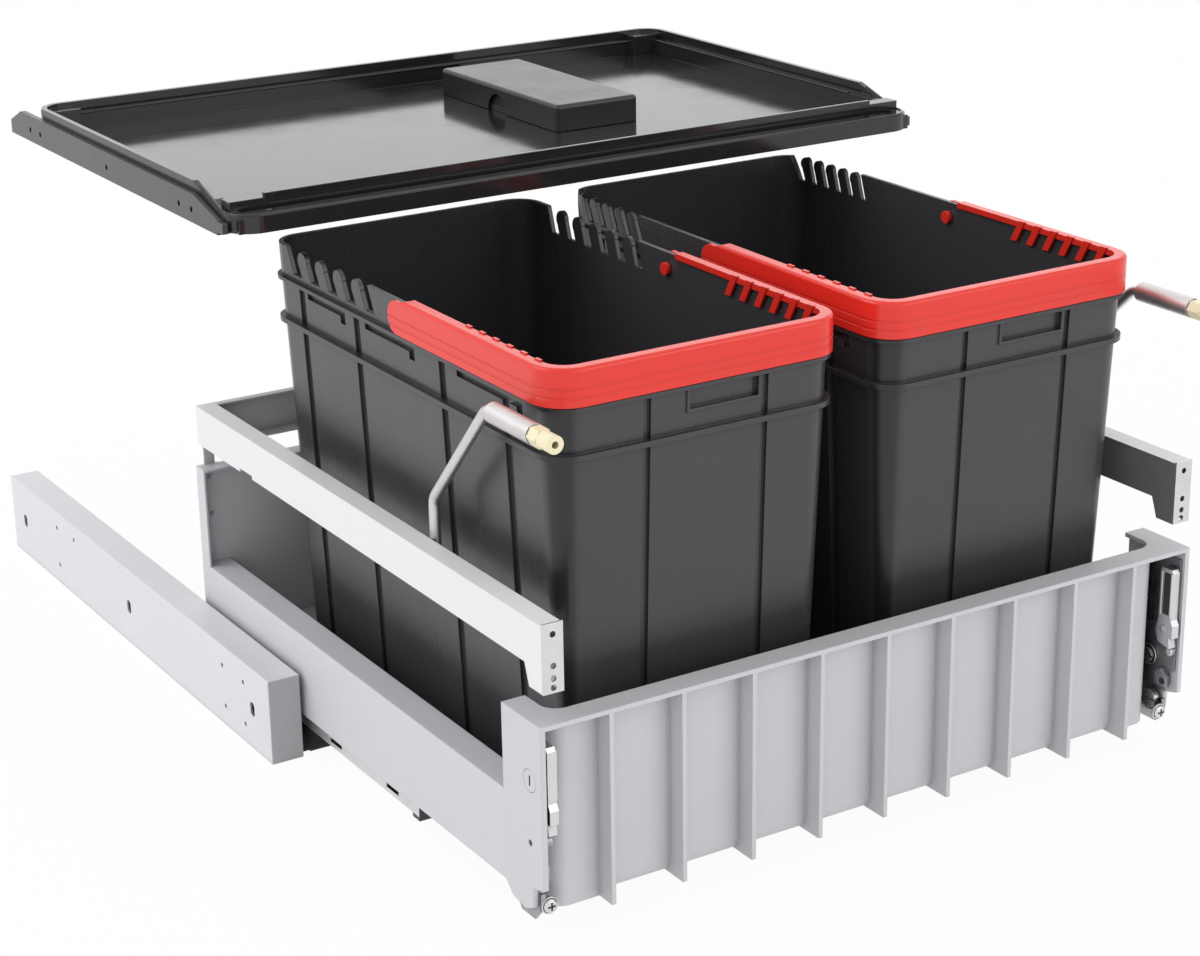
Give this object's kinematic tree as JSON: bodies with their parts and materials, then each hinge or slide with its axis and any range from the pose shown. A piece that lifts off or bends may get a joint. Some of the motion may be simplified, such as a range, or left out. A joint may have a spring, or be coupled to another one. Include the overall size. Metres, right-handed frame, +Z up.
{
  "type": "pull out bin frame",
  "caption": "Pull-out steel frame on telescopic rails for a base cabinet, holding waste bins with red bag-clamping bands, under a fixed sliding lid tray with filter box.",
  "frame": {"origin": "centre of the left rail's screw line, on the face against the left cabinet side", "axes": "+X to the right across the cabinet, +Y to the back of the cabinet, +Z up; the frame pulls out along -Y"},
  "size_m": [0.564, 0.845, 0.3957],
  "materials": {
    "housing_plastic": "fine moulded satin",
    "runner_black": "satin black coat",
    "zinc": "bright zinc plate",
    "cage_plastic": "plain",
    "frame_paint": "light grey powder coat",
    "rear_paint": "grey powder coat",
    "front_plastic": "grey moulded",
    "gallery_paint": "white powder coat",
    "bin_plastic": "black, slightly glossy moulded",
    "band_red": "glossy red",
    "lid_plastic": "polished black",
    "strip_plastic": "dark grey moulded",
    "tip_plastic": "cream",
    "filter_fabric": "activated-carbon fleece"
  },
  "bodies": {
    "cabinet_fixings": {"left_rail_housing": "housing_plastic", "left_cabinet_runner": "runner_black", "left_lid_strip": "strip_plastic", "right_rail_housing": "housing_plastic", "right_cabinet_runner": "runner_black", "right_lid_strip": "strip_plastic"},
    "frame": {"base_panel": "rear_paint", "rear_wall": "rear_paint", "rear_gallery_rail": "gallery_paint", "front_panel": "front_plastic", "rear_screws": "zinc", "left_drawer_runner": "zinc", "left_side_profile": "frame_paint", "left_rear_post": "frame_paint", "left_front_bracket": "front_plastic", "left_gallery_rail": "gallery_paint", "left_gallery_end_plate": "zinc", "left_fixing_plate": "zinc", "left_stabiliser_rod": "zinc", "right_drawer_runner": "zinc", "right_side_profile": "frame_paint", "right_rear_post": "frame_paint", "right_front_bracket": "front_plastic", "right_gallery_rail": "gallery_paint", "right_gallery_end_plate": "zinc", "right_fixing_plate": "zinc", "right_stabiliser_rod": "zinc"},
    "left_middle_member": {"left_middle_runner": "zinc"},
    "left_lower_carriage": {"left_lower_cage": "cage_plastic", "left_lower_rollers": "zinc"},
    "left_upper_carriage": {"left_upper_cage": "cage_plastic", "left_upper_rollers": "zinc"},
    "left_tub": {"left_bin": "bin_plastic", "left_band_pins": "band_red"},
    "left_clamp": {"left_clamp_band": "band_red"},
    "left_sleeve": {"left_stabiliser_sleeve": "zinc"},
    "left_tip": {"left_stabiliser_tip": "tip_plastic"},
    "left_lever": {"left_fixing_lever": "zinc"},
    "left_height_screw": {"left_height_cam": "zinc"},
    "left_tilt_screw": {"left_tilt_cam": "zinc"},
    "left_side_screw": {"left_side_adjuster": "zinc"},
    "right_middle_member": {"right_middle_runner": "zinc"},
    "right_lower_carriage": {"right_lower_cage": "cage_plastic", "right_lower_rollers": "zinc"},
    "right_upper_carriage": {"right_upper_cage": "cage_plastic", "right_upper_rollers": "zinc"},
    "right_tub": {"right_bin": "bin_plastic", "right_band_pins": "band_red"},
    "right_clamp": {"right_clamp_band": "band_red"},
    "right_sleeve": {"right_stabiliser_sleeve": "zinc"},
    "right_tip": {"right_stabiliser_tip": "tip_plastic"},
    "right_lever": {"right_fixing_lever": "zinc"},
    "right_height_screw": {"right_height_cam": "zinc"},
    "right_tilt_screw": {"right_tilt_cam": "zinc"},
    "right_side_screw": {"right_side_adjuster": "zinc"},
    "lid": {"lid_tray": "lid_plastic", "filter_frame": "lid_plastic", "filter_pad": "filter_fabric"},
    "filter_lid": {"filter_cover": "lid_plastic"}
  },
  "joints": [
    {"name": "frame_pull", "type": "slide", "parent": "cabinet_fixings", "child": "frame", "axis": [0, -1, 0], "range_m": [-0.312, 0.16]},
    {"name": "left_middle_slide", "type": "slide", "parent": "cabinet_fixings", "child": "left_middle_member", "axis": [0, -1, 0], "range_m": [-0.195, 0.1]},
    {"name": "left_lower_carriage_slide", "type": "slide", "parent": "cabinet_fixings", "child": "left_lower_carriage", "axis": [0, -1, 0], "range_m": [-0.0975, 0.05]},
    {"name": "left_upper_carriage_slide", "type": "slide", "parent": "cabinet_fixings", "child": "left_upper_carriage", "axis": [0, -1, 0], "range_m": [-0.2535, 0.13]},
    {"name": "left_bin_lift", "type": "slide", "parent": "frame", "child": "left_tub", "axis": [0, 0, 1], "range_m": [0, 0.014]},
    {"name": "left_clamp_swing", "type": "hinge", "parent": "left_tub", "child": "left_clamp", "pos_m": [0.163, -0.351, 0.3042], "axis": [-1, 0, 0], "range_deg": [0, 80]},
    {"name": "left_sleeve_turn", "type": "hinge", "parent": "frame", "child": "left_sleeve", "pos_m": [0.042, -0.522, 0.2862], "axis": [0, -1, 0], "range_deg": [-180, 180]},
    {"name": "left_tip_screw", "type": "slide", "parent": "left_sleeve", "child": "left_tip", "axis": [0, -1, 0], "range_m": [0, 0.008]},
    {"name": "left_lever_swing", "type": "hinge", "parent": "frame", "child": "left_lever", "pos_m": [0.036, -0.5618, 0.05604], "axis": [-1, 0, 0], "range_deg": [0, 15]},
    {"name": "left_height_turn", "type": "hinge", "parent": "frame", "child": "left_height_screw", "pos_m": [0.0344, -0.54294, 0.02971], "axis": [1, 0, 0], "range_deg": [-90, 90]},
    {"name": "left_tilt_turn", "type": "hinge", "parent": "frame", "child": "left_tilt_screw", "pos_m": [0.0353, -0.5495, -0.00038], "axis": [1, 0, 0], "range_deg": [-90, 90]},
    {"name": "left_side_turn", "type": "hinge", "parent": "frame", "child": "left_side_screw", "pos_m": [0.029, -0.55635, 0.07679], "axis": [1, 0, 0], "range_deg": [-90, 90]},
    {"name": "right_middle_slide", "type": "slide", "parent": "cabinet_fixings", "child": "right_middle_member", "axis": [0, -1, 0], "range_m": [-0.195, 0.1]},
    {"name": "right_lower_carriage_slide", "type": "slide", "parent": "cabinet_fixings", "child": "right_lower_carriage", "axis": [0, -1, 0], "range_m": [-0.0975, 0.05]},
    {"name": "right_upper_carriage_slide", "type": "slide", "parent": "cabinet_fixings", "child": "right_upper_carriage", "axis": [0, -1, 0], "range_m": [-0.2535, 0.13]},
    {"name": "right_bin_lift", "type": "slide", "parent": "frame", "child": "right_tub", "axis": [0, 0, 1], "range_m": [0, 0.014]},
    {"name": "right_clamp_swing", "type": "hinge", "parent": "right_tub", "child": "right_clamp", "pos_m": [0.401, -0.351, 0.3042], "axis": [-1, 0, 0], "range_deg": [0, 80]},
    {"name": "right_sleeve_turn", "type": "hinge", "parent": "frame", "child": "right_sleeve", "pos_m": [0.522, -0.547, 0.2862], "axis": [0, -1, 0], "range_deg": [-180, 180]},
    {"name": "right_tip_screw", "type": "slide", "parent": "right_sleeve", "child": "right_tip", "axis": [0, -1, 0], "range_m": [0, 0.008]},
    {"name": "right_lever_swing", "type": "hinge", "parent": "frame", "child": "right_lever", "pos_m": [0.528, -0.5618, 0.05604], "axis": [-1, 0, 0], "range_deg": [0, 15]},
    {"name": "right_height_turn", "type": "hinge", "parent": "frame", "child": "right_height_screw", "pos_m": [0.5296, -0.54294, 0.02971], "axis": [1, 0, 0], "range_deg": [-90, 90]},
    {"name": "right_tilt_turn", "type": "hinge", "parent": "frame", "child": "right_tilt_screw", "pos_m": [0.5287, -0.5495, -0.00038], "axis": [1, 0, 0], "range_deg": [-90, 90]},
    {"name": "right_side_turn", "type": "hinge", "parent": "frame", "child": "right_side_screw", "pos_m": [0.535, -0.55635, 0.07679], "axis": [1, 0, 0], "range_deg": [-90, 90]},
    {"name": "lid_slide", "type": "slide", "parent": "cabinet_fixings", "child": "lid", "axis": [0, 1, 0], "range_m": [-0.25, 0]},
    {"name": "filter_cover_lift", "type": "slide", "parent": "lid", "child": "filter_lid", "axis": [0, 0, 1], "range_m": [0, 0.04]}
  ],
  "couplings": [
    {"joint": "left_middle_slide", "follows": "frame_pull", "ratio": 0.625},
    {"joint": "left_lower_carriage_slide", "follows": "frame_pull", "ratio": 0.3125},
    {"joint": "left_upper_carriage_slide", "follows": "frame_pull", "ratio": 0.8125},
    {"joint": "right_middle_slide", "follows": "frame_pull", "ratio": 0.625},
    {"joint": "right_lower_carriage_slide", "follows": "frame_pull", "ratio": 0.3125},
    {"joint": "right_upper_carriage_slide", "follows": "frame_pull", "ratio": 0.8125}
  ]
}
